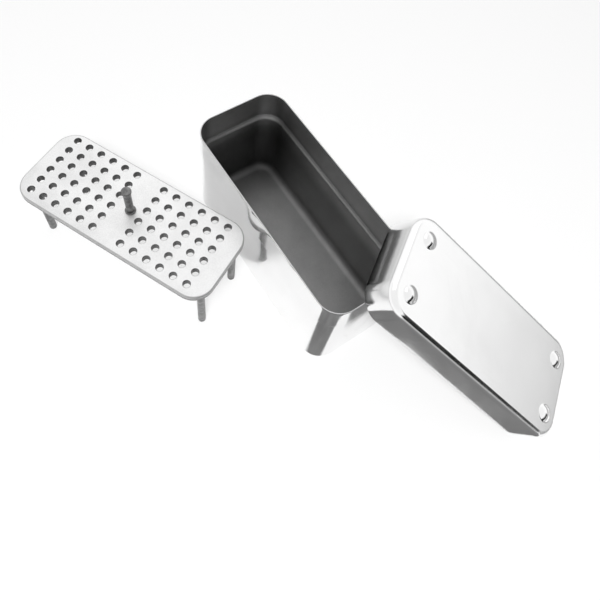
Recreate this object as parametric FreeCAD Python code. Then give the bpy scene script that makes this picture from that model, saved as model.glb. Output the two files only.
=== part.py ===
import FreeCAD, Part
import math
import os

from FreeCAD import Placement, Rotation, Vector

# A small sterilization container for slender instruments: a drawn steel box whose mouth
# is rolled out into a band, a drawn lid that slips over that band, and a drilled
# aluminium tray on four legs that is lifted by a post. The lid is off and leans on a
# corner of the box, and the tray stands beside it. Millimetres, +Z up, origin under the
# middle of the box, X along it.

# Drawn box and lid
body_length = 95.0
body_width = 39.2
body_height = 52.8
corner_radius = 8.7
sheet = 0.5
base_radius = 4.0
band_height = 13.5
band_reach = 0.35
step_bend_radius = 1.0
lid_play = 0.1
lid_lip_gap = 0.9
shoulder_radius = 2.4
bump_radius = 3.2
bump_height = 1.2
bump_blend = 0.7

# Tray plate, cut to drop into the box
plate_thickness = 3.2
plate_top = 37.4
plate_play_ends = 2.0
plate_play_sides = 1.1
plate_corner_radius = 8.6
plate_edge_round = 0.5

# Instrument holes, in two blocks with the post between them
hole_diameter = 2.9
hole_pitch_along = 6.1
hole_pitch_across = 5.6
hole_block_gap = 13.2
hole_side_margin = 3.3
hole_to_leg = 1.5
hole_offset_along = -1.2
hole_offset_across = 0.5

# Legs and lifting post
leg_diameter = 3.2
leg_from_end = 5.0
foot_chamfer = 0.4
post_diameter = 3.1
post_head_diameter = 4.0
post_head_height = 2.6
post_edge_chamfer = 0.3
post_collar_diameter = 4.4
post_collar_height = 0.8
post_headroom = 0.2
spigot_diameter = 2.0
spigot_depth = 1.8
spigot_play = 0.02
spigot_end_gap = 0.2

# Where the tray stands and the lid leans
tray_x = -34.1
tray_stand_off = 35.9
tray_turn = 26.0
lid_foot_x = 104.3
lid_foot_y = 50.0
lid_turn = 32.2
rest_gap = 0.3

tray_y = -body_width / 2.0 - tray_stand_off
lid_reach = band_reach + lid_play + sheet
lid_height = band_height - lid_lip_gap + sheet
closed_inside_height = body_height - sheet
plate_length = body_length - 2.0 * (sheet + plate_play_ends)
plate_width = body_width - 2.0 * (sheet + plate_play_sides)
post_height = closed_inside_height - plate_top - post_headroom
leg_along = plate_length / 2.0 - leg_from_end
block_reach = leg_along - hole_to_leg - abs(hole_offset_along) - hole_block_gap / 2.0
hole_columns = int(block_reach / hole_pitch_along) + 1
hole_rows = int((plate_width - 2.0 * (hole_side_margin + abs(hole_offset_across))) / hole_pitch_across) + 1
leg_across = (hole_rows - 2) * hole_pitch_across / 2.0


def line(start, end):
    """Return a straight edge between two points given as (x, z)."""
    return Part.LineSegment(Vector(start[0], 0, start[1]), Vector(end[0], 0, end[1])).toShape()


def bend(centre, radius, start_angle, end_angle):
    """Return an arc in the XZ plane; angles in degrees from +X towards +Z."""
    points = []
    for share in (0.0, 0.5, 1.0):
        angle = math.radians(start_angle + share * (end_angle - start_angle))
        points.append(Vector(centre[0] + radius * math.cos(angle), 0, centre[1] + radius * math.sin(angle)))
    return Part.Arc(*points).toShape()


def section_face(edges):
    """Close a chain of edges into a flat face."""
    return Part.Face(Part.Wire(Part.__sortEdges__(edges)))


def box_wall_section():
    """Draw the sheet of the box from its floor to its rim, outside face at x = 0 below the band."""
    wide_bend = step_bend_radius
    tight_bend = step_bend_radius - sheet
    turn = math.degrees(math.acos(1.0 - band_reach / (wide_bend + tight_bend)))
    step_foot = body_height - band_height
    step_head = step_foot + (wide_bend + tight_bend) * math.sin(math.radians(turn))
    low = (tight_bend, step_foot)
    high = (band_reach - wide_bend, step_head)
    base = (-base_radius, base_radius)
    return section_face([
        line((-corner_radius, 0.0), (-base_radius, 0.0)),
        bend(base, base_radius, -90.0, 0.0),
        line((0.0, base_radius), (0.0, step_foot)),
        bend(low, tight_bend, 180.0, 180.0 - turn),
        bend(high, wide_bend, -turn, 0.0),
        line((band_reach, step_head), (band_reach, body_height)),
        line((band_reach, body_height), (band_reach - sheet, body_height)),
        line((band_reach - sheet, body_height), (band_reach - sheet, step_head)),
        bend(high, tight_bend, 0.0, -turn),
        bend(low, wide_bend, 180.0 - turn, 180.0),
        line((-sheet, step_foot), (-sheet, base_radius)),
        bend(base, base_radius - sheet, 0.0, -90.0),
        line((-base_radius, sheet), (-corner_radius, sheet)),
        line((-corner_radius, sheet), (-corner_radius, 0.0)),
    ])


def lid_wall_section():
    """Draw the sheet of the lid from its rim to its top; it stands outside the box's band."""
    inner = lid_reach - sheet
    shoulder = (lid_reach - shoulder_radius, lid_height - shoulder_radius)
    under = lid_height - sheet
    return section_face([
        line((lid_reach, 0.0), (lid_reach, shoulder[1])),
        bend(shoulder, shoulder_radius, 0.0, 90.0),
        line((shoulder[0], lid_height), (-corner_radius, lid_height)),
        line((-corner_radius, lid_height), (-corner_radius, under)),
        line((-corner_radius, under), (shoulder[0], under)),
        bend(shoulder, shoulder_radius - sheet, 90.0, 0.0),
        line((inner, shoulder[1]), (inner, 0.0)),
        line((inner, 0.0), (lid_reach, 0.0)),
    ])


def drawn_shell(section, web_height):
    """Carry a wall section round the rounded rectangle and close it with its flat web."""
    half_length = body_length / 2.0 - corner_radius
    half_width = body_width / 2.0 - corner_radius
    corner_axis = section.translated(Vector(corner_radius, 0, 0))
    quarter = corner_axis.revolve(Vector(0, 0, 0), Vector(0, 0, 1), 90.0)
    pieces = []
    for number in range(4):
        along_x = number % 2 == 1
        x = half_length if number in (0, 3) else -half_length
        y = half_width if number in (0, 1) else -half_width
        turned = Rotation(Vector(0, 0, 1), 90.0 * number)
        place = Placement(Vector(x, y, 0), turned)
        pieces.append(quarter.transformed(place.toMatrix()))
        run = 2.0 * (half_length if along_x else half_width)
        side = corner_axis.extrude(Vector(0, -run, 0))
        pieces.append(side.transformed(place.toMatrix()))
    web = Part.makeBox(2.0 * half_length, 2.0 * half_width, sheet, Vector(-half_length, -half_width, web_height))
    return web.multiFuse(pieces).removeSplitter()


def corner_places(offset_across):
    """Return the four corner points shared by the legs and the lid's sockets, by name."""
    places = {}
    for end_name, x in (("near", leg_along), ("far", -leg_along)):
        for side_name, y in (("left", -leg_across), ("right", leg_across)):
            places[end_name + "_" + side_name] = Vector(x, y + offset_across, 0)
    return places


def leg_places():
    """Return the leg centres; each stands midway between the two outer rows of holes."""
    return corner_places(hole_offset_across)


def bump_cap(thickness):
    """Return the ball whose top makes a lid bump, less the given thickness."""
    ball_radius = (bump_radius ** 2 + bump_height ** 2) / (2.0 * bump_height)
    centre_height = lid_height + bump_height - ball_radius
    ball = Part.makeSphere(ball_radius - thickness, Vector(0, 0, centre_height))
    floor_height = lid_height - sheet
    column = Part.makeCylinder(2.0 * bump_radius, bump_height + 2.0 * sheet, Vector(0, 0, floor_height))
    return ball.common(column)


def box_body():
    return drawn_shell(box_wall_section(), 0.0)


def lid():
    """Raise four bumps on the drawn lid; inside they are the sockets for the tray's feet."""
    shape = drawn_shell(lid_wall_section(), lid_height - sheet)
    bumps = bump_cap(0.0)
    sockets = bump_cap(sheet)
    for place in corner_places(0.0).values():
        shape = shape.fuse(bumps.translated(place))
    rims = [edge for edge in shape.Edges if is_bump_rim(edge)]
    shape = shape.makeFillet(bump_blend, rims)
    for place in corner_places(0.0).values():
        shape = shape.cut(sockets.translated(place))
    return shape.removeSplitter()


def is_bump_rim(edge):
    """Tell the circles where the bumps meet the lid's top from every other edge."""
    box = edge.BoundBox
    on_top = abs(box.ZMin - lid_height) < 1e-4 and abs(box.ZMax - lid_height) < 1e-4
    return on_top and abs(edge.Length - 2.0 * math.pi * bump_radius) < 1e-3


def rounded_plate(length, width, radius, bottom, thickness):
    """Return a flat plate with rounded corners, standing on the given height."""
    block = Part.makeBox(length, width, thickness, Vector(-length / 2.0, -width / 2.0, bottom))
    uprights = [edge for edge in block.Edges if edge.BoundBox.ZLength > thickness / 2.0]
    return block.makeFillet(radius, uprights)


def outline_edges(shape, height):
    """Return the edges of a plain plate that lie at one height."""
    return [edge for edge in shape.Edges if abs(edge.BoundBox.ZMin - height) < 1e-5 and edge.BoundBox.ZLength < 1e-5]


def hole_centres():
    """Return the centres of the instrument holes, block by block."""
    centres = []
    for block in (-1, 1):
        for column in range(hole_columns):
            x = block * (hole_block_gap / 2.0 + column * hole_pitch_along) + hole_offset_along
            for row in range(hole_rows):
                y = (row - (hole_rows - 1) / 2.0) * hole_pitch_across + hole_offset_across
                centres.append(Vector(x, y, 0))
    return centres


def tray_plate():
    """Drill the plate for the instruments, the post and, from below, the four legs."""
    bottom = plate_top - plate_thickness
    shape = rounded_plate(plate_length, plate_width, plate_corner_radius, bottom, plate_thickness)
    shape = shape.makeFillet(plate_edge_round, outline_edges(shape, plate_top) + outline_edges(shape, bottom))
    drill = Part.makeCylinder(hole_diameter / 2.0, plate_thickness, Vector(0, 0, bottom))
    tools = [drill.translated(centre) for centre in hole_centres()]
    socket_radius = spigot_diameter / 2.0 + spigot_play
    socket = Part.makeCylinder(socket_radius, spigot_depth, Vector(0, 0, bottom))
    tools += [socket.translated(place) for place in leg_places().values()]
    tools.append(Part.makeCylinder(socket_radius, spigot_depth, Vector(0, 0, plate_top - spigot_depth)))
    return shape.cut(Part.makeCompound(tools))


def turned(outline):
    """Turn a half profile, given as (radius, height) points from bottom to top."""
    points = [Vector(radius, 0, height) for radius, height in outline]
    points.append(Vector(0, 0, outline[-1][1]))
    points.insert(0, Vector(0, 0, outline[0][1]))
    points.append(points[0])
    return Part.Face(Part.makePolygon(points)).revolve(Vector(0, 0, 0), Vector(0, 0, 1), 360.0)


def leg():
    """Turn one leg: a rod with a broken edge at its foot and a spigot in the plate."""
    radius = leg_diameter / 2.0
    spigot = spigot_diameter / 2.0
    shoulder = plate_top - plate_thickness
    tip = shoulder + spigot_depth - spigot_end_gap
    return turned([
        (radius - foot_chamfer, 0.0),
        (radius, foot_chamfer),
        (radius, shoulder),
        (spigot, shoulder),
        (spigot, tip),
    ])


def lifting_post():
    """Turn the post: spigot, collar on the plate, slim shank and flared head."""
    shank = post_diameter / 2.0
    collar = post_collar_diameter / 2.0
    head = post_head_diameter / 2.0
    spigot = spigot_diameter / 2.0
    top = plate_top + post_height
    return turned([
        (spigot, plate_top - spigot_depth + spigot_end_gap),
        (spigot, plate_top),
        (collar, plate_top),
        (collar, plate_top + post_collar_height - post_edge_chamfer),
        (shank, plate_top + post_collar_height),
        (shank, top - post_head_height),
        (head, top - post_edge_chamfer),
        (head - post_edge_chamfer, top),
    ])


def tray_stand():
    return Placement(Vector(tray_x, tray_y, 0), Rotation(Vector(0, 0, 1), tray_turn))


def lid_lean(angle):
    """Put the lid's low rim edge on the ground and tip its other end up by the angle."""
    pivot = Placement(Vector(-body_length / 2.0 - lid_reach, 0, 0), Rotation())
    tip_up = Placement(Vector(0, 0, 0), Rotation(Vector(0, 1, 0), angle))
    ground = Placement(Vector(lid_foot_x, lid_foot_y, 0), Rotation(Vector(0, 0, 1), lid_turn))
    return ground * tip_up * pivot


def lean_angle(box, cover):
    """Find the tip at which the lid comes down to the rest gap above the box's rim."""
    low = 0.0
    high = 60.0
    for _ in range(14):
        middle = (low + high) / 2.0
        leaning = cover.transformed(lid_lean(middle).toMatrix())
        if box.distToShape(leaning)[0] < rest_gap:
            low = middle
        else:
            high = middle
    return high


os.makedirs("parts", exist_ok=True)

box_shape = box_body()
lid_shape = lid()
lean = lean_angle(box_shape, lid_shape)
stand = tray_stand().toMatrix()
nodes = {
    "box_body": box_shape,
    "lid": lid_shape.transformed(lid_lean(lean).toMatrix()),
    "tray_plate": tray_plate().transformed(stand),
    "lifting_post": lifting_post().transformed(stand),
}
for place_name, place in leg_places().items():
    nodes["leg_" + place_name] = leg().translated(place).transformed(stand)

for name, shape in nodes.items():
    shape.exportStep("parts/" + name + ".step")
    box = shape.BoundBox
    print(name, "solids", len(shape.Solids), "valid", shape.isValid(), "volume", round(shape.Volume, 2),
          "z", round(box.ZMin, 3), round(box.ZMax, 3))
print("lid lean", round(lean, 3), "holes", len(hole_centres()), "lid height", lid_height,
      "plate", plate_length, plate_width, "post", round(post_height, 2))
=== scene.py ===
# %% [markdown]
# # A small sterilization container, opened
# Slender instruments are sterilized standing up in a drilled tray, inside a drawn steel
# box with a slip-on lid. Here the lid is off and leans on the box, and the tray stands
# beside it on its legs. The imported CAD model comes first, because every piece made below
# has to stay where its solid is and ride on the same body.

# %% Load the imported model
import math

import bmesh
import bpy
import numpy as np
from mathutils import Matrix, Vector
from mathutils.geometry import tessellate_polygon


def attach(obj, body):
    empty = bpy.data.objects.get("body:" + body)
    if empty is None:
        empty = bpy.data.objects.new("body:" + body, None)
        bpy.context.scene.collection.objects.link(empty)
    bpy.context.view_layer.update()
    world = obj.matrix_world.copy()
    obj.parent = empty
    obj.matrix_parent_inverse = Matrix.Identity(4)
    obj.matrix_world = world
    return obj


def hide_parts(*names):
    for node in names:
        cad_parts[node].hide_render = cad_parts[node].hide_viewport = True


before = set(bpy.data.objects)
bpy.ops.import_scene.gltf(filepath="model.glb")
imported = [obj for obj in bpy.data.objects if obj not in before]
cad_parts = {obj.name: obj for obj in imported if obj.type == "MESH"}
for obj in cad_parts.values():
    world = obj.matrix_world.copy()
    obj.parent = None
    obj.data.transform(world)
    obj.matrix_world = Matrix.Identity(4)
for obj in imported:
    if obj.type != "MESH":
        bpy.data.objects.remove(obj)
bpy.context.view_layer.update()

# %% [markdown]
# ## Sizes and places
# The numbers are millimetres, as on a drawing, and a piece is turned into metres only
# when its mesh is made. Each piece is worked out in its own frame, level and centred, and
# a 4 x 4 place then seats it: the box stands at the origin, the tray is turned on the
# table, and the lid rests on one end and is tipped up at the other.

# %% Sizes and places
MM = 0.001

BOX_LENGTH = 95.0
BOX_WIDTH = 39.2
BOX_HEIGHT = 52.8
CORNER = 8.7
SHEET = 0.5
BAND_HEIGHT = 13.5
BAND_REACH = 0.35
LID_PLAY = 0.1
LID_REACH = BAND_REACH + LID_PLAY + SHEET
LID_HEIGHT = 13.1

PLATE_LENGTH = 90.0
PLATE_WIDTH = 36.0
PLATE_TOP = 37.4
PLATE_THICK = 3.2
LEG_ALONG = 40.0
LEG_ACROSS = 11.2


def shift(x, y, z):
    """A 4 x 4 place that only moves."""
    return Matrix.Translation((x, y, z))


def turn(degrees, axis):
    """A 4 x 4 place that only turns about one axis."""
    return Matrix.Rotation(math.radians(degrees), 4, axis)


box_place = Matrix.Identity(4)
lid_half = BOX_LENGTH / 2 + LID_REACH
tray_place = shift(-34.1, -55.5, 0) @ turn(26.0, "Z")
lid_place = shift(104.3, 50.0, 0) @ turn(32.2, "Z") @ turn(34.435, "Y") @ shift(-lid_half, 0, 0)
print("raised end of the lid, mm:", [round(v, 1) for v in lid_place @ Vector((-lid_half, 0, 0))])

# %% [markdown]
# ## From arrays to a piece
# All pieces are made the same way: one array of points and one list of faces. The helper
# seats the points, merges the ones that a shape folds onto each other (the middle of a
# corner, the tip of a rod), and marks edges sharper than a chosen angle. It also prints
# the volume, which is positive only when the faces point outwards, and the number of
# open edges, which is 0 only when the skin is closed.

# %% From arrays to a piece
SAME_POINT = 0.0002


def make_piece(name, points, faces, zones, finishes, place, sharp_angle=35.0, flat_faces=None):
    """Seat the points, build the mesh and give each face the finish its zone number names."""
    mesh = bpy.data.meshes.new(name)
    turned = np.array(place.to_3x3())
    seated = (np.asarray(points, float) @ turned.T + np.array(place.translation)) * MM
    mesh.from_pydata(seated.tolist(), [], faces)
    smooth = np.ones(len(faces), bool)
    if flat_faces is not None:
        smooth[flat_faces] = False
    mesh.polygons.foreach_set("use_smooth", smooth)
    mesh.polygons.foreach_set("material_index", np.asarray(zones, np.int32))
    work = bmesh.new()
    work.from_mesh(mesh)
    bmesh.ops.remove_doubles(work, verts=work.verts, dist=SAME_POINT * MM)
    volume = work.calc_volume(signed=True) / MM ** 3
    open_edges = sum(1 for edge in work.edges if len(edge.link_faces) != 2)
    work.to_mesh(mesh)
    work.free()
    mesh.set_sharp_from_angle(angle=math.radians(sharp_angle))
    for finish in finishes:
        mesh.materials.append(finish)
    piece = bpy.data.objects.new(name, mesh)
    bpy.context.scene.collection.objects.link(piece)
    print(f"{name}: {len(mesh.polygons)} faces, {volume:.0f} mm3, {open_edges} open edges")
    return piece


def quads(rows, columns, wrap):
    """Four-cornered faces of a grid of points, row by row; wrap joins the last column to the first."""
    row, column = np.meshgrid(np.arange(rows - 1), np.arange(columns - (not wrap)), indexing="ij")
    right = (column + 1) % columns
    here, beside = row * columns + column, row * columns + right
    return np.stack([here, beside, beside + columns, here + columns], -1).reshape(-1, 4)


def arc(centre, radius, start, end, steps):
    """Points on an arc in the section plane, angles in degrees from outwards towards up."""
    angle = np.radians(np.linspace(start, end, steps + 1))
    return np.column_stack([centre[0] + radius * np.cos(angle), centre[1] + radius * np.sin(angle)])


def straight(start, end, step, margin=0.12):
    """Points between two ends, evenly spaced, with one more close to each end to hold the shading flat."""
    start, end = np.array(start, float), np.array(end, float)
    length = np.linalg.norm(end - start)
    inner = np.linspace(margin, length - margin, max(2, int(length / step) + 1))
    return start + (end - start) * (inner / length)[:, None]


# %% [markdown]
# ## Groups of shader nodes
# Real metal is never one flat colour. Four effects turn up on several pieces: haze from
# handling, fine scratches, an even grain, and the rings that a lathe or a drill leaves.
# Each is a node group made once, and every finish places it with its own numbers. The
# groups put out masks and heights only, so the shader itself stays in the material and
# the maps can be baked.

# %% Helpers for shader nodes
def add(tree, kind, ins=(), settings=None, **named):
    """Add a node; its inputs are given in order or by name, as values or as sockets to link."""
    node = tree.nodes.new("ShaderNode" + kind)
    for key, value in (settings or {}).items():
        setattr(node, key, value)
    pairs = list(enumerate(ins)) + [(key.replace("_", " "), value) for key, value in named.items()]
    for key, value in pairs:
        if isinstance(value, bpy.types.NodeSocket):
            tree.links.new(value, node.inputs[key])
        elif value is not None:
            node.inputs[key].default_value = value
    return node


def maths(tree, operation, *values):
    """One Math node, and its result."""
    return add(tree, "Math", values, {"operation": operation}).outputs[0]


def remap(tree, value, low, high, to_low, to_high, smooth=True):
    """Stretch a value from one range to another, clamped, with soft ends."""
    settings = {"interpolation_type": "SMOOTHSTEP" if smooth else "LINEAR"}
    return add(tree, "MapRange", (value, low, high, to_low, to_high), settings).outputs[0]


def grey(level):
    return (level, level, level, 1.0)


def blend_greys(tree, factor, dark, light):
    """A colour between two greys: the first where the factor is 0, the second where it is 1."""
    mixed = add(tree, "Mix", settings={"data_type": "RGBA"})
    tree.links.new(factor, mixed.inputs[0])
    mixed.inputs[6].default_value = grey(dark)
    mixed.inputs[7].default_value = grey(light)
    return mixed.outputs[2]


def new_group(name, inputs, outputs):
    """Start a group with named inputs (name, kind, start value) and number outputs."""
    tree = bpy.data.node_groups.new(name, "ShaderNodeTree")
    for socket, kind, value in inputs:
        made = tree.interface.new_socket(socket, in_out="INPUT", socket_type="NodeSocket" + kind)
        if value is not None:
            made.default_value = value
    for socket in outputs:
        tree.interface.new_socket(socket, in_out="OUTPUT", socket_type="NodeSocketFloat")
    return tree, tree.nodes.new("NodeGroupInput").outputs, tree.nodes.new("NodeGroupOutput").inputs


# %% The four effects
def haze_group():
    """Soft cloudy patches, 0 to 1: broad noise, sharpened towards its middle."""
    tree, given, out = new_group(
        "Handling haze", [("Vector", "Vector", None), ("Patch size", "Float", 20 * MM)], ["Mask"])
    scale = maths(tree, "DIVIDE", 1.0, given["Patch size"])
    noise = add(tree, "TexNoise", Vector=given["Vector"], Scale=scale, Detail=4.0, Roughness=0.55)
    tree.links.new(remap(tree, noise.outputs[0], 0.3, 0.7, 0.0, 1.0), out["Mask"])
    return tree


def scratch_group():
    """Thin lines: noise squeezed across one direction, kept only where it peaks, in two directions."""
    tree, given, out = new_group(
        "Fine scratches",
        [("Vector", "Vector", None), ("Spacing", "Float", 0.4 * MM), ("Stretch", "Float", 40.0)],
        ["Mask"])
    fine = maths(tree, "DIVIDE", 1.0, given["Spacing"])
    along = maths(tree, "DIVIDE", fine, given["Stretch"])
    lines = []
    for angle in (0.06, 0.9):
        spun = add(tree, "VectorRotate", settings={"rotation_type": "Z_AXIS"},
                   Vector=given["Vector"], Angle=angle)
        size = add(tree, "CombineXYZ", (along, fine, fine))
        squeezed = add(tree, "VectorMath", (spun.outputs[0], size.outputs[0]), {"operation": "MULTIPLY"})
        noise = add(tree, "TexNoise", Vector=squeezed.outputs[0], Scale=1.0, Detail=1.0)
        lines.append(remap(tree, noise.outputs[0], 0.60, 0.72, 0.0, 1.0))
    tree.links.new(maths(tree, "MAXIMUM", lines[0], lines[1]), out["Mask"])
    return tree


def grain_group():
    """An even, fine speckle, as blasting or anodising leaves."""
    tree, given, out = new_group(
        "Fine grain", [("Vector", "Vector", None), ("Grain size", "Float", 0.3 * MM)], ["Mask"])
    scale = maths(tree, "DIVIDE", 1.0, given["Grain size"])
    noise = add(tree, "TexNoise", Vector=given["Vector"], Scale=scale, Detail=2.0, Roughness=0.6)
    tree.links.new(remap(tree, noise.outputs[0], 0.25, 0.75, 0.0, 1.0), out["Mask"])
    return tree


def ring_group():
    """Rings round the Z axis: a wave along Z, made uneven by noise."""
    tree, given, out = new_group(
        "Tool rings", [("Vector", "Vector", None), ("Pitch", "Float", 0.4 * MM)], ["Mask"])
    height = add(tree, "SeparateXYZ", (given["Vector"],)).outputs[2]
    turns = maths(tree, "DIVIDE", maths(tree, "MULTIPLY", height, 2 * math.pi), given["Pitch"])
    noise = add(tree, "TexNoise", Vector=given["Vector"], Scale=700.0, Detail=2.0)
    uneven = maths(tree, "MULTIPLY", noise.outputs[0], 5.0)
    wave = maths(tree, "SINE", maths(tree, "ADD", turns, uneven))
    tree.links.new(maths(tree, "MULTIPLY_ADD", wave, 0.5, 0.5), out["Mask"])
    return tree


HAZE, SCRATCHES, GRAIN, RINGS = haze_group(), scratch_group(), grain_group(), ring_group()
print("node groups:", [tree.name for tree in (HAZE, SCRATCHES, GRAIN, RINGS)])


# %% Helpers for finishes
def start_finish(name, place):
    """A metal finish whose patterns follow the piece: its coordinates are turned back to its own frame."""
    finish = bpy.data.materials.new(name)
    finish.use_nodes = True
    tree = finish.node_tree
    shader = tree.nodes["Principled BSDF"]
    shader.inputs["Metallic"].default_value = 1.0
    where = add(tree, "TexCoord").outputs["Object"]
    own = add(tree, "Mapping", settings={"vector_type": "TEXTURE"}, Vector=where)
    own.inputs["Location"].default_value = place.translation * MM
    own.inputs["Rotation"].default_value = place.to_euler()
    return finish, tree, shader, own.outputs[0]


def effect(tree, group, vector, **named):
    """Place one of the groups and return its mask."""
    node = tree.nodes.new("ShaderNodeGroup")
    node.node_tree = group
    tree.links.new(vector, node.inputs["Vector"])
    for key, value in named.items():
        node.inputs[key.replace("_", " ")].default_value = value
    return node.outputs["Mask"]


def raise_by(tree, height, depth, under=None):
    """A Bump node that lifts the surface by a mask times a depth in metres."""
    bump = add(tree, "Bump", Height=height, Distance=depth, Strength=1.0)
    if under is not None:
        tree.links.new(under, bump.inputs["Normal"])
    return bump.outputs[0]


def vary(tree, mask, start, change):
    """start + change x mask."""
    return maths(tree, "MULTIPLY_ADD", mask, change, start)


def both(tree, first, second, share):
    """share x first + (1 - share) x second."""
    return vary(tree, first, start=maths(tree, "MULTIPLY", second, 1 - share), change=share)


def ramp(tree, length, start, end, low=0.0, high=1.0):
    """From low to high, softly, while a length goes from start to end, both in millimetres."""
    return remap(tree, length, start * MM, end * MM, low, high)


def plug(tree, shader, colour, roughness, normal=None):
    """Give the shader its colour, roughness and normal; a plain number is set on the socket itself."""
    for socket, value in (("Base Color", colour), ("Roughness", roughness), ("Normal", normal)):
        if isinstance(value, bpy.types.NodeSocket):
            tree.links.new(value, shader.inputs[socket])
        elif value is not None:
            shader.inputs[socket].default_value = value


# %% [markdown]
# ## Polished, drawn and cut steel
# The box and the lid are each drawn from one sheet. Outside they are polished, so they
# mirror the room, with slight waves because a thin wall is never quite flat. Inside the
# tool can't reach, and the sheet keeps the darker, softer surface of the press. The rim
# is a bare cut edge. Three finishes on one skin show this better than one finish could.
# Inside the box the colour goes by height, with light and shade painted into it: the floor
# is broad and dull, the walls are painted darker as shade, the wall brightens to a painted
# highlight at the step below the band, and the band above is paler. The end away from the
# lid is painted darker as shade. The step is a slight bend that spreads the light over a
# few millimetres of wall, so a Bump node tilts the shading there by a ramp, and the mesh
# keeps its true size.

# %% Sheet finishes
# Painted light inside the box: the wall grey is painted shade, the step grey is a painted highlight, the end
# share darkens the end away from the lid as painted shade, and the step share keeps the painted highlight
# through that shade.
FLOOR_GREY, SHADED_WALL_GREY, STEP_HIGHLIGHT_GREY, BAND_GREY = 0.46, 0.26, 0.52, 0.62
END_SHADE_SHARE = 0.40
STEP_HIGHLIGHT_SHARE = 0.68
STEP_TILT = 1.7


def polished_sheet(name, place, softness):
    """Mirror-bright steel: haze moves the roughness, and waves and scratches move the normal."""
    finish, tree, shader, own = start_finish(name, place)
    haze = effect(tree, HAZE, own, Patch_size=30 * MM)
    scratches = effect(tree, SCRATCHES, own, Spacing=0.35 * MM, Stretch=60.0)
    waves = effect(tree, HAZE, own, Patch_size=55 * MM)
    dull = vary(tree, haze, start=softness, change=0.05)
    wavy = raise_by(tree, waves, 0.04 * MM)
    plug(tree, shader, colour=blend_greys(tree, haze, dark=0.86, light=0.91),
         roughness=vary(tree, scratches, start=dull, change=0.05),
         normal=raise_by(tree, scratches, 0.0012 * MM, wavy))
    return finish


def pressed_sheet(name, place):
    """The inside of a drawn sheet, where no polishing wheel reaches: dull, cloudy and speckled."""
    finish, tree, shader, own = start_finish(name, place)
    haze = effect(tree, HAZE, own, Patch_size=18 * MM)
    grain = effect(tree, GRAIN, own, Grain_size=0.3 * MM)
    plug(tree, shader, colour=blend_greys(tree, haze, dark=0.22, light=0.30),
         roughness=vary(tree, haze, start=0.42, change=0.06), normal=raise_by(tree, grain, 0.006 * MM))
    return finish


def pressed_box_with_painted_light(name, place, step_height):
    """The same inside the box, by height: a dull floor, walls painted dark as shade, a painted highlight at
    the step, the paler band, and painted shade at the end away from the lid.
    """
    finish, tree, shader, own = start_finish(name, place)
    haze = effect(tree, HAZE, own, Patch_size=18 * MM)
    grain = effect(tree, GRAIN, own, Grain_size=0.3 * MM)
    along, _, height = add(tree, "SeparateXYZ", (own,)).outputs
    on_wall = ramp(tree, height, 1, 5)
    to_step = ramp(tree, height, step_height - 14, step_height - 2)
    to_band = ramp(tree, height, step_height, step_height + 4)
    # Painted light by height: walls darker as painted shade, rising to a painted highlight at the step, then
    # the paler band.
    level = vary(tree, on_wall, start=FLOOR_GREY, change=SHADED_WALL_GREY - FLOOR_GREY)
    level = vary(tree, to_step, start=level, change=STEP_HIGHLIGHT_GREY - SHADED_WALL_GREY)
    level = vary(tree, to_band, start=level, change=BAND_GREY - STEP_HIGHLIGHT_GREY)
    # Painted shade at the end away from the lid, lifted near the step so the painted highlight stays.
    painted_end_shade = maths(tree, "MAXIMUM", ramp(tree, along, -46, -24, END_SHADE_SHARE, 1.0),
                     maths(tree, "MULTIPLY", to_step, STEP_HIGHLIGHT_SHARE))
    speckles = vary(tree, maths(tree, "ADD", grain, haze), start=0.84, change=0.16)
    lip = ramp(tree, height, step_height - 3.6, step_height + 0.6, 1.0, 0.0)
    plug(tree, shader, colour=maths(tree, "MULTIPLY", maths(tree, "MULTIPLY", level, painted_end_shade), speckles),
         roughness=vary(tree, on_wall, start=0.66, change=-0.24),
         normal=raise_by(tree, grain, 0.006 * MM, raise_by(tree, lip, STEP_TILT * MM)))
    return finish


def cut_edge(name, place):
    """The bare edge of the sheet: bright, with a fine grain."""
    finish, tree, shader, own = start_finish(name, place)
    grain = effect(tree, GRAIN, own, Grain_size=0.3 * MM)
    plug(tree, shader, colour=blend_greys(tree, grain, dark=0.46, light=0.62),
         roughness=vary(tree, grain, start=0.20, change=0.10))
    return finish


box_finishes = [polished_sheet("box_polished_steel", box_place, 0.07), cut_edge("box_cut_edge", box_place),
                pressed_box_with_painted_light("box_pressed_steel", box_place, BOX_HEIGHT - BAND_HEIGHT)]
lid_finishes = [polished_sheet("lid_polished_steel", lid_place, 0.11), cut_edge("lid_cut_edge", lid_place),
                pressed_sheet("lid_pressed_steel", lid_place)]
OUTSIDE, EDGE, INSIDE = 0, 1, 2
print("sheet finishes:", [finish.name for finish in box_finishes + lid_finishes])

# %% [markdown]
# ## A skin carried round a rounded rectangle
# A drawn box is one wall section carried round its outline: straight along the sides and
# turned about the corner centres. A solid could be extruded and filleted, but a surface
# made as a function of two numbers, how far round and how far along the section, gives
# even faces, clean reflections and full control of where the points gather. The flat
# middle is a grid whose edge points are the same as the last ring's, so the skin closes.

# %% The outline and the carried skin
def spread(half, gather, fine, coarse):
    """Places from -half to half, closer together within a given reach of both ends."""
    end = np.linspace(half - gather, half, max(1, round(gather / fine)) + 1)
    middle = half - gather
    inner = np.linspace(-middle, middle, 2 * max(1, round(middle / coarse)) + 1)
    return np.concatenate([-end[::-1], inner[1:-1], end])


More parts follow.
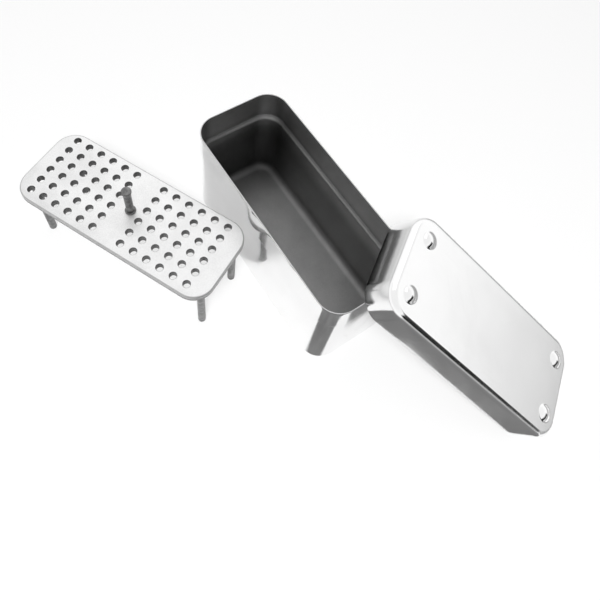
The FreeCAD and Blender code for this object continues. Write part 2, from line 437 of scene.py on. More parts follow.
def walk_round(places_x, places_y, corner_steps):
    """Stations round the inner rectangle: where each stands, where it faces, how far along its side it is."""
    half = np.array([places_x[-1], places_y[-1]])
    part_turns = np.linspace(0, np.pi / 2, corner_steps + 1)[1:-1]
    stands, facings, shares = [], [], []
    for quarter in range(4):
        start = quarter * np.pi / 2
        facing = np.round([np.cos(start), np.sin(start)])
        tangent = np.array([-facing[1], facing[0]])
        places = places_y if quarter % 2 == 0 else places_x
        reach, end = (half[0], half[1]) if quarter % 2 == 0 else (half[1], half[0])
        stands.append(facing * reach + places[:, None] * tangent)
        facings.append(np.tile(facing, (len(places), 1)))
        shares.append(places / end)
        stands.append(np.tile(facing * reach + tangent * end, (len(part_turns), 1)))
        facings.append(np.column_stack([np.cos(start + part_turns), np.sin(start + part_turns)]))
        shares.append(np.ones(len(part_turns)))
    return np.vstack(stands), np.vstack(facings), np.concatenate(shares)


def carried_skin(section, places_x, places_y, radius, corner_steps, bow=None):
    """Point = station + facing x (corner radius - inset - bow), at the section's height."""
    stands, facings, shares = walk_round(places_x, places_y, corner_steps)
    reach = radius + section[:, 0][:, None]
    if bow is not None:
        reach = reach - bow(section[:, 0][:, None], section[:, 1][:, None], shares[None], facings[None, :, 0])
    flat = stands[None] + facings[None] * reach[..., None]
    heights = np.broadcast_to(section[:, 1][:, None, None], flat.shape[:2] + (1,))
    return np.concatenate([flat, heights], -1).reshape(-1, 3), len(stands)


def drawn_sheet(section, row_zones, places_x, places_y, corner_steps, bow=None):
    """The carried skin with its two flat middles: the first faces down, the last faces up."""
    points, columns = carried_skin(section, places_x, places_y, CORNER, corner_steps, bow)
    faces = quads(len(section), columns, True)
    zones = np.repeat(row_zones, columns)
    across = len(places_y)
    grid_x, grid_y = np.meshgrid(places_x, places_y, indexing="ij")
    cells = quads(len(places_x), across, False)
    for height, order, zone in ((section[0, 1], 1, row_zones[0]), (section[-1, 1], -1, row_zones[-1])):
        middle = np.column_stack([grid_x.ravel(), grid_y.ravel(), np.full(grid_x.size, height)])
        faces = np.vstack([faces, (cells + len(points))[:, ::order]])
        zones = np.concatenate([zones, np.full(len(cells), zone)])
        points = np.vstack([points, middle])
    return points, faces, zones


# %% [markdown]
# ## The box
# The wall is vertical, then rolls outwards by less than one sheet, and goes on up as the
# band that the lid slips over. The floor meets it in a pressed round. The section below
# runs from under the floor, out and up to the rim, over it, and back down inside. The
# rounds at the floor and the rim keep their centres inside, with a radius one sheet
# smaller, and the step is softer inside than out, as a drawn step is. The long walls are
# let in by a fifth of a millimetre at their middle, as thin drawn walls are, so that their
# reflections bend a little.

# %% The box
BOX_CORNER_STEPS = 20
BASE_ROUND = 4.0
STEP_BEND = 1.0
SOFT_BEND = 2.4
WALL_BOW = 0.2
RIM_ROUND = SHEET / 2 - 0.02


def wall_bow(outwards, height, share, facing_x):
    """Inwards at mid-wall and mid-side, easing to nothing at the floor, the band and the corners."""
    level = np.clip((height - BASE_ROUND) / (BOX_HEIGHT - BAND_HEIGHT - BASE_ROUND), 0, 1)
    return WALL_BOW * np.sin(np.pi * level) ** 2 * (1 - share ** 2) ** 2


def box_section():
    """The box's wall as (outwards, up) points: from under the floor, over the rim, and down inside."""
    tight = STEP_BEND - SHEET
    bend = math.degrees(math.acos(1 - BAND_REACH / (STEP_BEND + tight)))
    soft_bend = math.degrees(math.acos(1 - BAND_REACH / (2 * SOFT_BEND)))
    foot = BOX_HEIGHT - BAND_HEIGHT
    head = foot + (STEP_BEND + tight) * math.sin(math.radians(bend))
    base, low, high = (-BASE_ROUND, BASE_ROUND), (tight, foot), (BAND_REACH - STEP_BEND, head)
    band_inside = BAND_REACH - SHEET
    soft_foot = (foot + head) / 2 - SOFT_BEND * math.sin(math.radians(soft_bend))
    soft_head = foot + head - soft_foot
    rim = (BAND_REACH - SHEET / 2, BOX_HEIGHT - RIM_ROUND)
    outside = [
        straight((-CORNER, 0), (-BASE_ROUND, 0), 1.5),
        arc(base, BASE_ROUND, -90, 0, 12),
        straight((0, BASE_ROUND), (0, foot), 2.0),
        arc(low, tight, 180, 180 - bend, 6),
        arc(high, STEP_BEND, -bend, 0, 8),
        straight((BAND_REACH, head), (BAND_REACH, rim[1]), 1.5),
    ]
    over = [arc(rim, RIM_ROUND, 0, 180, 8)]
    inside = [
        straight((band_inside, rim[1]), (band_inside, soft_head), 1.5),
        arc((band_inside - SOFT_BEND, soft_head), SOFT_BEND, 0, -soft_bend, 6),
        arc((SOFT_BEND - SHEET, soft_foot), SOFT_BEND, 180 - soft_bend, 180, 6),
        straight((-SHEET, soft_foot), (-SHEET, BASE_ROUND), 2.0),
        arc(base, BASE_ROUND - SHEET, 0, -90, 12),
        straight((-BASE_ROUND, SHEET), (-CORNER, SHEET), 1.5),
    ]
    return np.vstack(outside), np.vstack(over), np.vstack(inside)


def zoned(parts, order):
    """Join the parts of a section, end it exactly at the corner centre, and give each row its zone."""
    section = np.vstack(parts)
    section[0, 0] = section[-1, 0] = -CORNER
    return section, np.repeat(order, [len(part) for part in parts])[:-1]


box_rows, box_zones = zoned(box_section(), (OUTSIDE, EDGE, INSIDE))
half_x, half_y = BOX_LENGTH / 2 - CORNER, BOX_WIDTH / 2 - CORNER
box_places_x = spread(half_x, gather=0.6, fine=0.3, coarse=2.0)
box_places_y = spread(half_y, gather=0.6, fine=0.3, coarse=2.0)
box_mesh = drawn_sheet(box_rows, box_zones, box_places_x, box_places_y, BOX_CORNER_STEPS, wall_bow)
box_sheet = make_piece("box_sheet", *box_mesh, box_finishes, box_place)
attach(box_sheet, "box")
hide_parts("box_body")

# %% [markdown]
# ## The lid
# The lid is drawn the same way, upside down: a short wall with a tight shoulder, and four
# bumps pressed up near the corners. From inside they are sockets for the tray's feet when
# the tray stands on the upturned lid. They could be separate caps, but on the real lid
# they are the same sheet, so they are a height added to the skin: a ball that runs into
# the flat through a small hollow round. The points gather at the corners, where they are.
# The end walls bend inwards by 0.6 mm on their way up, and the top is dished by 0.1 mm, which
# gives the thin lid its curved reflections.

# %% The lid
LID_CORNER_STEPS = 24
SHOULDER = 2.4
BUMP_RADIUS = 3.2
BUMP_HEIGHT = 1.2
BUMP_BLEND = 0.7
LID_DISH = 0.10
DISH_MARGIN = 2.0
END_LEAN = 0.6
LEAN_START = 2.6


def end_lean(outwards, height, share, facing_x):
    """Inwards at the end walls above their foot by lean x (share of the height)^2, none on the long walls."""
    straight_top = LID_HEIGHT - SHOULDER
    share_up = np.clip((height - LEAN_START) / (straight_top - LEAN_START), 0, 1)
    share_out = np.clip((outwards + CORNER) / (CORNER + LID_REACH - SHOULDER), 0, 1)
    return END_LEAN * share_up ** 2 * share_out * facing_x ** 2


def ball_on_flat(distance, ball, sink, blend):
    """Height over a flat of a ball whose centre is sunk below it, with a hollow round between the two."""
    centre = math.sqrt((ball + blend) ** 2 - (blend + sink) ** 2)
    meet = centre * ball / (ball + blend)
    cap = np.sqrt(np.maximum(ball ** 2 - distance ** 2, 0)) - sink
    hollow = blend - np.sqrt(np.maximum(blend ** 2 - (distance - centre) ** 2, 0))
    return np.where(distance < meet, cap, np.where(distance < centre, hollow, 0.0))


def press_bumps(points, inner):
    """Raise the bumps on the top of the lid, one sheet less inside, and let the middle dish slightly."""
    ball = (BUMP_RADIUS ** 2 + BUMP_HEIGHT ** 2) / (2 * BUMP_HEIGHT)
    sink = ball - BUMP_HEIGHT
    top = points[:, 2] > LID_HEIGHT - 2 * SHEET
    spots = [Vector((x, y)) for x in (-LEG_ALONG, LEG_ALONG) for y in (-LEG_ACROSS, LEG_ACROSS)]
    lift = np.zeros(len(points))
    for spot in spots:
        distance = np.hypot(points[:, 0] - spot.x, points[:, 1] - spot.y)
        outer_lift = ball_on_flat(distance, ball, sink, BUMP_BLEND)
        inner_lift = ball_on_flat(distance, ball - SHEET, sink - SHEET, BUMP_BLEND / 2)
        lift += np.where(inner, inner_lift, outer_lift)
    reach = np.clip(np.abs(points[:, :2]) / (np.array([half_x, half_y]) + DISH_MARGIN), 0, 1)
    dish = LID_DISH * np.prod((1 - reach ** 2) ** 2, axis=1)
    points[:, 2] += np.where(top, lift - dish, 0)


def lid_section():
    """The lid's wall as (outwards, up) points: from under its top, down inside, and up outside."""
    under, inner = LID_HEIGHT - SHEET, LID_REACH - SHEET
    shoulder = (LID_REACH - SHOULDER, LID_HEIGHT - SHOULDER)
    rim = (LID_REACH - SHEET / 2, RIM_ROUND)
    inside = [
        straight((-CORNER, under), (shoulder[0], under), 0.3),
        arc(shoulder, SHOULDER - SHEET, 90, 0, 12),
        straight((inner, shoulder[1]), (inner, rim[1]), 1.2),
    ]
    over = [arc(rim, RIM_ROUND, -180, 0, 8)]
    outside = [
        straight((LID_REACH, rim[1]), (LID_REACH, shoulder[1]), 1.2),
        arc(shoulder, SHOULDER, 0, 90, 18),
        straight((shoulder[0], LID_HEIGHT), (-CORNER, LID_HEIGHT), 0.3),
    ]
    return np.vstack(inside), np.vstack(over), np.vstack(outside)


lid_rows, lid_zones = zoned(lid_section(), (INSIDE, EDGE, OUTSIDE))
lid_places_x = spread(half_x, gather=3.0, fine=0.3, coarse=2.5)
lid_places_y = spread(half_y, gather=4.2, fine=0.3, coarse=2.5)
lid_points, lid_faces, lid_face_zones = drawn_sheet(
    lid_rows, lid_zones, lid_places_x, lid_places_y, LID_CORNER_STEPS, end_lean)
columns = len(walk_round(lid_places_x, lid_places_y, LID_CORNER_STEPS)[0])
skin = len(lid_rows) * columns
under_top = np.zeros(len(lid_points), bool)
under_top[:skin] = np.repeat(np.arange(len(lid_rows)) < len(lid_rows) // 2, columns)
under_top[skin:skin + (len(lid_points) - skin) // 2] = True
press_bumps(lid_points, under_top)
lid_sheet = make_piece("lid_sheet", lid_points, lid_faces, lid_face_zones, lid_finishes, lid_place,
                       sharp_angle=50.0)
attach(lid_sheet, "lid")
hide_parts("lid")

# %% [markdown]
# ## Satin aluminium, drilled walls and turned rods
# The tray is machined. Its plate has a pale satin skin with faint patches, its side is
# milled and darker, with painted shade on its lower half, and the holes show the rings of
# the drill on walls painted dark as shade. The legs and the post are turned rods, darker
# than the plate, with rings along them and small dark flecks where the surface has caught.

# %% Tray finishes
def satin_plate(name, place):
    """Pale anodised aluminium: grain in the normal, faint patches in colour, a few hairline scratches."""
    finish, tree, shader, own = start_finish(name, place)
    patches = effect(tree, HAZE, own, Patch_size=12 * MM)
    grain = effect(tree, GRAIN, own, Grain_size=0.45 * MM)
    scratches = effect(tree, SCRATCHES, own, Spacing=0.5 * MM, Stretch=30.0)
    mottle = both(tree, grain, patches, 0.5)
    plug(tree, shader, colour=blend_greys(tree, mottle, dark=0.64, light=0.84),
         roughness=vary(tree, patches, start=0.40, change=0.08),
         normal=raise_by(tree, scratches, 0.003 * MM, raise_by(tree, grain, 0.008 * MM)))
    return finish


def milled_edge(name, place):
    """The side of the plate: milled, so rougher than its skin, with lines along it, and painted darker on its
    lower half as shade.
    """
    finish, tree, shader, own = start_finish(name, place)
    lines = effect(tree, RINGS, own, Pitch=0.5 * MM)
    height = add(tree, "SeparateXYZ", (own,)).outputs[2]
    # Painted shade: the lower half of the side is darker than the upper half.
    level = ramp(tree, height, PLATE_TOP - 2.2, PLATE_TOP - 1.2, 0.22, 0.44)
    plug(tree, shader, colour=vary(tree, lines, start=level, change=0.05), roughness=0.45,
         normal=raise_by(tree, lines, 0.006 * MM))
    return finish


def shaded_drilled_wall(name, place):
    """The wall of a drilled hole: painted dark as shade inside the hole, with fine rings round it."""
    finish, tree, shader, own = start_finish(name, place)
    rings = effect(tree, RINGS, own, Pitch=0.35 * MM)
    # Painted shade: the hole walls are dark grey so that the holes read as shaded.
    plug(tree, shader, colour=blend_greys(tree, rings, dark=0.07, light=0.15), roughness=0.42,
         normal=raise_by(tree, rings, 0.01 * MM))
    return finish


def turned_rod(name, place, dark, light):
    """Turned steel: fine rings, and flecks where the grain peaks."""
    finish, tree, shader, own = start_finish(name, place)
    rings = effect(tree, RINGS, own, Pitch=0.3 * MM)
    flecks = effect(tree, HAZE, own, Patch_size=1.6 * MM)
    plug(tree, shader, colour=blend_greys(tree, both(tree, rings, flecks, 0.25), dark, light),
         roughness=vary(tree, flecks, start=0.42, change=-0.12),
         normal=raise_by(tree, rings, 0.005 * MM))
    return finish


SKIN, DRILLED, MILLED = 0, 1, 2
plate_finishes = [satin_plate("tray_satin_aluminium", tray_place),
                  shaded_drilled_wall("tray_drilled_wall", tray_place),
                  milled_edge("tray_milled_edge", tray_place)]
leg_finish = turned_rod("leg_turned_steel", tray_place, dark=0.13, light=0.26)
post_finish = turned_rod("post_turned_steel", tray_place, dark=0.11, light=0.24)
print("tray finishes:", [finish.name for finish in plate_finishes + [leg_finish, post_finish]])

# %% [markdown]
# ## The drilled plate
# Seventy-two holes in two blocks. Cutting them with a boolean would leave long thin faces
# and lose the small bevel that the drill's countersink leaves. Here each hole is its own
# little skin, a section turned round its axis, for all holes at once in one array. The
# flat top and underside are then filled between the outline and the rims of the holes.

# %% The drilled plate
PLATE_CORNER = 8.6
PLATE_ROUND = 0.5
HOLE_RADIUS = 1.45
HOLE_BEVEL = 0.16
HOLE_SIDES = 28
RING_TURN = 0.7
PITCH_ALONG = 6.1
PITCH_ACROSS = 5.6
BLOCK_GAP = 13.2
PATTERN_SHIFT = (-1.2, 0.5)
SPIGOT = 1.0
SPIGOT_DEPTH = 1.8
PLAY = 0.02
SOCKET_SIDES = 20


def hole_places():
    """Centres of the holes: six columns each side of the gap, six rows, all moved by the pattern's shift."""
    columns = BLOCK_GAP / 2 + PITCH_ALONG * np.arange(6)
    x = np.concatenate([-columns[::-1], columns]) + PATTERN_SHIFT[0]
    y = PITCH_ACROSS * (np.arange(6) - 2.5) + PATTERN_SHIFT[1]
    grid = np.meshgrid(x, y, indexing="ij")
    return np.column_stack([grid[0].ravel(), grid[1].ravel()])


def leg_places():
    """Centres of the four legs: midway between the two outer rows, beyond the last columns."""
    return [(x, y + PATTERN_SHIFT[1]) for x in (-LEG_ALONG, LEG_ALONG) for y in (-LEG_ACROSS, LEG_ACROSS)]


def turned_skin(section, centres, sides):
    """Point = centre + radius x (cos, sin) at the section's height; each circle starts at its own angle."""
    starts = RING_TURN * np.arange(len(centres))
    angle = starts[:, None] + np.linspace(0, 2 * np.pi, sides, endpoint=False)
    circle = np.stack([np.cos(angle), np.sin(angle)], -1)
    flat = np.asarray(centres)[:, None, None] + section[None, :, 0, None, None] * circle[:, None]
    heights = np.broadcast_to(section[None, :, 1, None, None], flat.shape[:3] + (1,))
    points = np.concatenate([flat, heights], -1)
    one = quads(len(section), sides, True)
    first = np.arange(len(centres)) * len(section) * sides
    return points, (one[None] + first[:, None, None]).reshape(-1, 4)


def fill_between(loops, height, upwards):
    """Triangles that fill a flat between an outline and the loops inside it, and the points they use."""
    flat = np.vstack(loops)
    triangles = np.array(tessellate_polygon([[Vector((x, y, 0)) for x, y in loop] for loop in loops]))
    a, b, c = (flat[triangles[:, k]] for k in range(3))
    area = (b[:, 0] - a[:, 0]) * (c[:, 1] - a[:, 1]) - (b[:, 1] - a[:, 1]) * (c[:, 0] - a[:, 0])
    wrong = area < 0 if upwards else area > 0
    triangles[wrong] = triangles[wrong][:, ::-1]
    print(f"flat at {height:.1f} mm: {len(triangles)} triangles, {np.abs(area).sum() / 2:.1f} mm2")
    return np.column_stack([flat, np.full(len(flat), height)]), triangles


def drilled_plate():
    """The plate's rounded side, the skins of its holes and sockets, and its two flats."""
    top, bottom = PLATE_TOP, PLATE_TOP - PLATE_THICK
    edge = np.vstack([arc((-PLATE_ROUND, bottom + PLATE_ROUND), PLATE_ROUND, -90, 0, 6),
                      arc((-PLATE_ROUND, top - PLATE_ROUND), PLATE_ROUND, 0, 90, 6)])
    x, y = PLATE_LENGTH / 2 - PLATE_CORNER, PLATE_WIDTH / 2 - PLATE_CORNER
    stations = [spread(half, gather=0.5, fine=0.5, coarse=5.0) for half in (x, y)]
    side, columns = carried_skin(edge, *stations, PLATE_CORNER, corner_steps=16)
    wide = HOLE_RADIUS + HOLE_BEVEL
    through = np.array([(wide, top), (HOLE_RADIUS, top - HOLE_BEVEL), (HOLE_RADIUS, (top + bottom) / 2),
                        (HOLE_RADIUS, bottom + HOLE_BEVEL), (wide, bottom)])
    holes, hole_faces = turned_skin(through, hole_places(), HOLE_SIDES)
    socket, deep, high = SPIGOT + PLAY, top - SPIGOT_DEPTH, bottom + SPIGOT_DEPTH
    from_top = np.array([(socket, top), (socket, deep), (0, deep)])
    from_below = np.array([(0, high), (socket, high), (socket, bottom)])
    post_socket, post_faces = turned_skin(from_top, [(0, 0)], SOCKET_SIDES)
    leg_sockets, leg_faces = turned_skin(from_below, leg_places(), SOCKET_SIDES)
    skins = [(side, quads(len(edge), columns, True), MILLED), (holes, hole_faces, DRILLED),
             (post_socket, post_faces, DRILLED), (leg_sockets, leg_faces, DRILLED)]
    outline_top, outline_bottom = side[-columns:, :2], side[:columns, :2]
    upper = [outline_top] + list(holes[:, 0, :, :2]) + list(post_socket[:, 0, :, :2])
    lower = [outline_bottom] + list(holes[:, -1, :, :2]) + list(leg_sockets[:, -1, :, :2])
    flats = [fill_between(upper, top, True), fill_between(lower, bottom, False)]
    points, faces, zones = [], [], []
    for skin_points, skin_faces, zone in skins + [flat + (SKIN,) for flat in flats]:
        start = sum(len(part) for part in points)
        points.append(skin_points.reshape(-1, 3))
        faces += (skin_faces + start).tolist()
        zones += [zone] * len(skin_faces)
    flat_count = sum(len(flat[1]) for flat in flats)
    return np.vstack(points), faces, zones, np.arange(len(faces) - flat_count, len(faces))


*plate_mesh, plate_flats = drilled_plate()
plate_piece = make_piece("tray_drilled_plate", *plate_mesh, plate_finishes, tray_place,
                         sharp_angle=30.0, flat_faces=plate_flats)
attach(plate_piece, "tray")
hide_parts("tray_plate")

# %% [markdown]
# ## The legs and the lifting post
# These are lathe work: one section turned about its axis. Each keeps the thin spigot that
# sits in the plate, a small round where the tool broke the edge, and, on the post, the
# collar it stands on and the flared head that the fingers lift.

# %% The legs and the post
ROD_SIDES = 48
SPIGOT_GAP = 0.2
LEG_RADIUS = 1.6
FOOT_ROUND = 0.4
POST_TOP = 52.1
COLLAR_RADIUS = 2.2
COLLAR_HEIGHT = 0.8
SHANK_RADIUS = 1.55
HEAD_RADIUS = 2.0
HEAD_HEIGHT = 2.6
BROKEN_EDGE = 0.3


def leg_section():
    """A leg from its foot up: rounded foot, straight shank, shoulder under the plate, spigot."""
    shoulder = PLATE_TOP - PLATE_THICK
    tip = shoulder + SPIGOT_DEPTH - SPIGOT_GAP
    return np.vstack([
        [(0, 0)],
        arc((LEG_RADIUS - FOOT_ROUND, FOOT_ROUND), FOOT_ROUND, -90, 0, 5),
        straight((LEG_RADIUS, FOOT_ROUND), (LEG_RADIUS, shoulder), 6.0),
        [(LEG_RADIUS, shoulder), (SPIGOT, shoulder), (SPIGOT, tip), (0, tip)],
    ])


def post_section():
    """The post from its spigot up: collar, slim shank, hollow round into the head, and a dimpled top."""
    tip = PLATE_TOP - SPIGOT_DEPTH + SPIGOT_GAP
    collar_top, head_foot = PLATE_TOP + COLLAR_HEIGHT, POST_TOP - HEAD_HEIGHT
    return np.vstack([
        [(0, tip), (SPIGOT, tip), (SPIGOT, PLATE_TOP), (COLLAR_RADIUS, PLATE_TOP)],
        arc((COLLAR_RADIUS - BROKEN_EDGE, collar_top - BROKEN_EDGE), BROKEN_EDGE, 0, 90, 4),
        [(SHANK_RADIUS, collar_top)],
        straight((SHANK_RADIUS, collar_top + 0.1), (SHANK_RADIUS, head_foot), 3.0),
        [(SHANK_RADIUS + 0.12, head_foot + 0.5), (SHANK_RADIUS + 0.27, head_foot + 1.0)],
        [(HEAD_RADIUS - 0.06, head_foot + 1.6)],
        arc((HEAD_RADIUS - BROKEN_EDGE, POST_TOP - BROKEN_EDGE), BROKEN_EDGE, 0, 90, 5),
        [(1.1, POST_TOP - 0.02), (0.5, POST_TOP - 0.12), (0, POST_TOP - 0.15)],
    ])


def turned_piece(name, section, centre, finish):
    """Turn a section about an upright axis at the given place on the tray."""
    points, faces = turned_skin(np.asarray(section, float), [centre], ROD_SIDES)
    zones = np.zeros(len(faces), int)
    return make_piece(name, points.reshape(-1, 3), faces.tolist(), zones, [finish], tray_place)


for (x, y), node in zip(leg_places(), ("leg_far_left", "leg_far_right", "leg_near_left", "leg_near_right")):
    leg = turned_piece("tray_" + node, leg_section(), (x, y), leg_finish)
    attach(leg, "tray")
    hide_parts(node)

post = turned_piece("tray_lifting_post", post_section(), (0, 0), post_finish)
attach(post, "tray")
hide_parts("lifting_post")

# %% [markdown]
# ## The table
# A matt pale table under a pale room. For the camera most of it is plain white, by the
# Light Path node, as in a catalogue picture, and the rest is its real shading, which
# keeps the soft shadows of the pieces. Polished metal sees it a little whiter too.

# %% The table
TABLE_HALF, TABLE_DROP = 3000.0, -0.1
TABLE_GREY = 0.88
WHITE_TO_CAMERA = 0.62
WHITE_TO_METAL = 0.3


def white_ground():
    """Matt and pale, mixed with plain white by a share for the camera and a smaller one for metal."""
    ground = bpy.data.materials.new("pale_table")
    ground.use_nodes = True
    tree = ground.node_tree
    shader = tree.nodes["Principled BSDF"]
    shader.inputs["Specular IOR Level"].default_value = 0.1
    plug(tree, shader, colour=grey(TABLE_GREY), roughness=0.9)
    ray = add(tree, "LightPath").outputs
    to_camera = maths(tree, "MULTIPLY", ray["Is Camera Ray"], WHITE_TO_CAMERA)
    to_metal = maths(tree, "MAXIMUM", ray["Is Glossy Ray"], ray["Is Transmission Ray"])
    share = vary(tree, to_metal, start=to_camera, change=WHITE_TO_METAL)
    glow = add(tree, "Emission", Color=grey(1.0), Strength=1.0)
    shown = add(tree, "MixShader", (share, shader.outputs[0], glow.outputs[0]))
    tree.links.new(shown.outputs[0], tree.nodes["Material Output"].inputs["Surface"])
    return ground


def flat_card(name, corners, finish):
    """A flat card or table top, given by its corners in millimetres."""
    mesh = bpy.data.meshes.new(name)
    mesh.from_pydata([Vector(corner) * MM for corner in corners], [], [tuple(range(len(corners)))])
    mesh.materials.append(finish)
    card = bpy.data.objects.new(name, mesh)
    bpy.context.scene.collection.objects.link(card)
    return card


table_corners = [(x * TABLE_HALF, y * TABLE_HALF, TABLE_DROP)
                 for x, y in ((-1, -1), (1, -1), (1, 1), (-1, 1))]
flat_card("table", table_corners, white_ground())
print("table:", 2 * TABLE_HALF, "mm across")

# %% [markdown]
# ## Painted reflections for the mirrors
# Polished steel has no colour of its own to speak of: it shows what lies round it. Here its
# edges are drawn with painted reflections: three glowing cards lie on this table, a grey one
# beyond the box's corner, a pale one beyond the lid, and a patch that stands for the shade
# under the leaning lid. Only mirrored rays meet them, so they put no shadow or colour on
# anything matt, and a mask with soft sides keeps their borders from showing.

# %% Painted reflections for the mirrors
CARD_DROP = -0.05
GREY_CARD_EDGE = [(40.5, -14), (66, -14), (80, -10), (91, 5), (101, 17), (112, 29), (122, 33), (400, 100),
              (2900, 700), (2900, -2900), (300, -900), (40.5, -60)]
FAR_EDGE = [(150, 40), (700, 300), (700, 1500), (-500, 1500), (-200, 300)]
SHADE_EDGE = [(50.5, -0.5), (72, 4), (88, 22), (78, 44), (56, 38), (50.5, 24)]


def grey_painted_reflection(tree, where, x, y):
    """A painted reflection: an uneven glowing grey, soft along the box's corner, paler far from the lid."""
    patches = effect(tree, HAZE, where, Patch_size=12 * MM)
    level = maths(tree, "MULTIPLY", ramp(tree, x, 170, 420, 1.0, 1.9),
                  vary(tree, patches, start=0.18, change=0.06))
    in_front = maths(tree, "MAXIMUM", ramp(tree, y, -16, -14.4, 1.0, 0.0), ramp(tree, x, 66, 68))
    return level, maths(tree, "MULTIPLY", ramp(tree, x, 40.5, 43), in_front)


def far_painted_reflection(tree, where, x, y):
    """A painted reflection: a pale grey glow beyond the lid, fading in away from it, which draws the line of
    the lid's far edge.
    """
    return grey(0.42), ramp(tree, vary(tree, x, start=y, change=0.9), 190, 215)


def lid_shade(tree, where, x, y):
    """The shade under the leaning lid, deepening away from the box."""
    patches = effect(tree, HAZE, where, Patch_size=10 * MM)
    return (vary(tree, patches, start=0.16, change=0.10),
            maths(tree, "MULTIPLY", ramp(tree, x, 50.5, 56), ramp(tree, y, -0.5, 8)))


def lay_mirror_card(name, edge, look):
    """A card that only mirrors see: it glows at the look's level where the mask is 1, and is clear at 0."""
    finish = bpy.data.materials.new(name)
    finish.use_nodes = True
    tree = finish.node_tree
    where = add(tree, "TexCoord").outputs["Object"]
    x, y, _ = add(tree, "SeparateXYZ", (where,)).outputs
    level, solid = look(tree, where, x, y)
    glow = add(tree, "Emission", Color=level, Strength=1.0)
    shown = add(tree, "MixShader", (solid, add(tree, "BsdfTransparent").outputs[0], glow.outputs[0]))
    tree.links.new(shown.outputs[0], tree.nodes["Material Output"].inputs["Surface"])
    card = flat_card(name, [(x, y, CARD_DROP) for x, y in edge], finish)
    card.visible_camera = card.visible_diffuse = card.visible_shadow = card.visible_transmission = False
    return card


# Glowing cards that paint reflections of grey and of shade into the steel.
cards = [lay_mirror_card("grey_reflection_card", GREY_CARD_EDGE, grey_painted_reflection), lay_mirror_card("far_card", FAR_EDGE, far_painted_reflection),
         lay_mirror_card("shade_card", SHADE_EDGE, lid_shade)]
print("cards:", [card.name for card in cards])

# %% [markdown]
# ## The room
# The room is white above and a little greyer at the horizon and overhead, so that a curved
# mirror is never one flat tone. On one side stands a low dark backdrop, which draws the
# dark line along the lid's shoulder. It is worked out from the direction of the ray: how
# far aside of the backdrop's middle, and how high. The camera sees plain white, and the
# matt table takes less light from the room than metal mirrors, so its shadows stay.

# %% The room
HORIZON_LEVEL, SKY_LEVEL, OVERHEAD_FALL = 0.84, 1.13, 0.14
ROOM_ON_TABLE = 0.4
DARK_AZIMUTH = 20.0
DARK_HALF_WIDTH, SIDE_SOFTNESS = 0.46, 0.04
DARK_FOOT, FOOT_SOFTNESS = 0.04, 0.02
DARK_TOP, TOP_SOFTNESS = 0.38, 0.05
DARK_LEVEL = 0.01


def soft_step(tree, value, edge, softness, low, high):
    """From low to high as a value passes an edge, over the softness on each side."""
    return remap(tree, value, edge - softness, edge + softness, low, high)


def dark_backdrop(tree, direction, up):
    """1 inside the backdrop, softly 0 outside, by how far aside and how high a ray goes."""
    facing = math.radians(DARK_AZIMUTH)
    ways = (math.cos(facing), math.sin(facing), 0), (-math.sin(facing), math.cos(facing), 0)
    ahead, aside = (add(tree, "VectorMath", (direction, way), {"operation": "DOT_PRODUCT"}).outputs["Value"]
                    for way in ways)
    aside = maths(tree, "ABSOLUTE", aside)
    across = maths(tree, "MULTIPLY", soft_step(tree, aside, DARK_HALF_WIDTH, SIDE_SOFTNESS, 1.0, 0.0),
                   remap(tree, ahead, 0.0, 0.1, 0.0, 1.0))
    upright = maths(tree, "MULTIPLY", soft_step(tree, up, DARK_FOOT, FOOT_SOFTNESS, 0.0, 1.0),
                    soft_step(tree, up, DARK_TOP, TOP_SOFTNESS, 1.0, 0.0))
    return maths(tree, "MULTIPLY", across, upright)


def room_light():
    """Rising from the horizon's level to the sky's, falling a little overhead, dark at the backdrop."""
    world = bpy.data.worlds.new("room")
    world.use_nodes = True
    tree = world.node_tree
    direction = add(tree, "TexCoord").outputs["Generated"]
    up = add(tree, "SeparateXYZ", (direction,)).outputs[2]
    rise = remap(tree, up, 0.03, 0.20, HORIZON_LEVEL, SKY_LEVEL)
    fall = remap(tree, up, 0.30, 0.75, 0.0, OVERHEAD_FALL)
    mirrored = tree.nodes["Background"]
    backdrop = blend_greys(tree, dark_backdrop(tree, direction, up), 1.0, DARK_LEVEL)
    tree.links.new(backdrop, mirrored.inputs["Color"])
    tree.links.new(maths(tree, "SUBTRACT", rise, fall), mirrored.inputs["Strength"])
    on_table = add(tree, "Background", Color=grey(1.0), Strength=ROOM_ON_TABLE)
    white = add(tree, "Background", Color=grey(1.0), Strength=1.0)
    ray = add(tree, "LightPath").outputs
    lit = add(tree, "MixShader", (ray["Is Diffuse Ray"], mirrored.outputs[0], on_table.outputs[0]))
    shown = add(tree, "MixShader", (ray["Is Camera Ray"], lit.outputs[0], white.outputs[0]))
    tree.links.new(shown.outputs[0], tree.nodes["World Output"].inputs["Surface"])
    bpy.context.scene.world = world
    return world


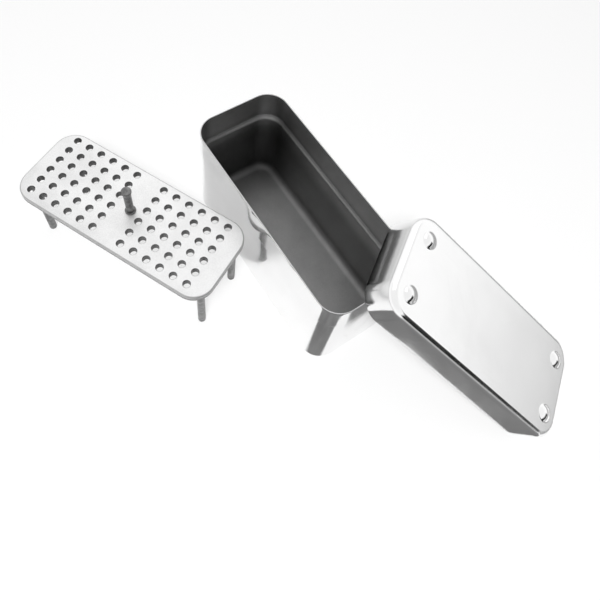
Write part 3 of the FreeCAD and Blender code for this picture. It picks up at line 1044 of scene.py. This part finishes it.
print("world:", room_light().name)

# %% [markdown]
# ## Lamps
# A broad soft lamp hangs high to the left, behind the box. A small one is on the line from
# the box through the camera, further back, and gives the table its shadows. It would be a
# bright dot in every curved mirror, so mirrored rays don't see it.

# %% Lamps
CAMERA_PLACE = Vector((86.616, -88.262, 252.024))
BEHIND_CAMERA = 2.6
LAMP_AIM = (0, 0, 20)


def soft_lamp(name, place, size, power):
    """A square soft lamp at a place in millimetres, turned to the box."""
    data = bpy.data.lights.new(name, "AREA")
    data.shape = "SQUARE"
    data.size = size * MM
    data.energy = power
    lamp = bpy.data.objects.new(name, data)
    lamp.location = Vector(place) * MM
    lamp.rotation_euler = (Vector(LAMP_AIM) - Vector(place)).to_track_quat("-Z", "Y").to_euler()
    bpy.context.scene.collection.objects.link(lamp)
    print(f"{name}: {size} mm, {power} W")
    return lamp


soft_lamp("key_lamp", (-300, 250, 700), size=800, power=0.7)
near_camera = soft_lamp("near_camera_lamp", CAMERA_PLACE * BEHIND_CAMERA, size=150, power=4.2)
near_camera.visible_glossy = False

# %% [markdown]
# ## Camera
# The camera was found by fitting one lens to the hole grid, the edges of the box and the
# edges of the lid. The object sits high in the frame, so the lens is shifted, as on a
# view camera, instead of the camera being tilted away from it.

# %% Camera
camera_data = bpy.data.cameras.new("camera")
camera_data.sensor_width = 36.0
camera_data.lens = 37.255
camera_data.shift_x = 0.0623
camera_data.shift_y = -0.1919
camera_data.clip_start = 0.01
camera_data.clip_end = 20.0
camera = bpy.data.objects.new("camera", camera_data)
right, down, ahead = (0.54115, 0.83848, 0.06420), (0.73290, -0.43283, -0.52489), (-0.41232, 0.33109, -0.84874)
axes = Matrix((right, [-v for v in down], [-v for v in ahead])).transposed()
camera.matrix_world = Matrix.Translation(CAMERA_PLACE * MM) @ axes.to_4x4()
bpy.context.scene.collection.objects.link(camera)
bpy.context.scene.camera = camera
print("camera at", [round(v) for v in CAMERA_PLACE], "mm")

bpy.context.scene.view_settings.view_transform = "Standard"
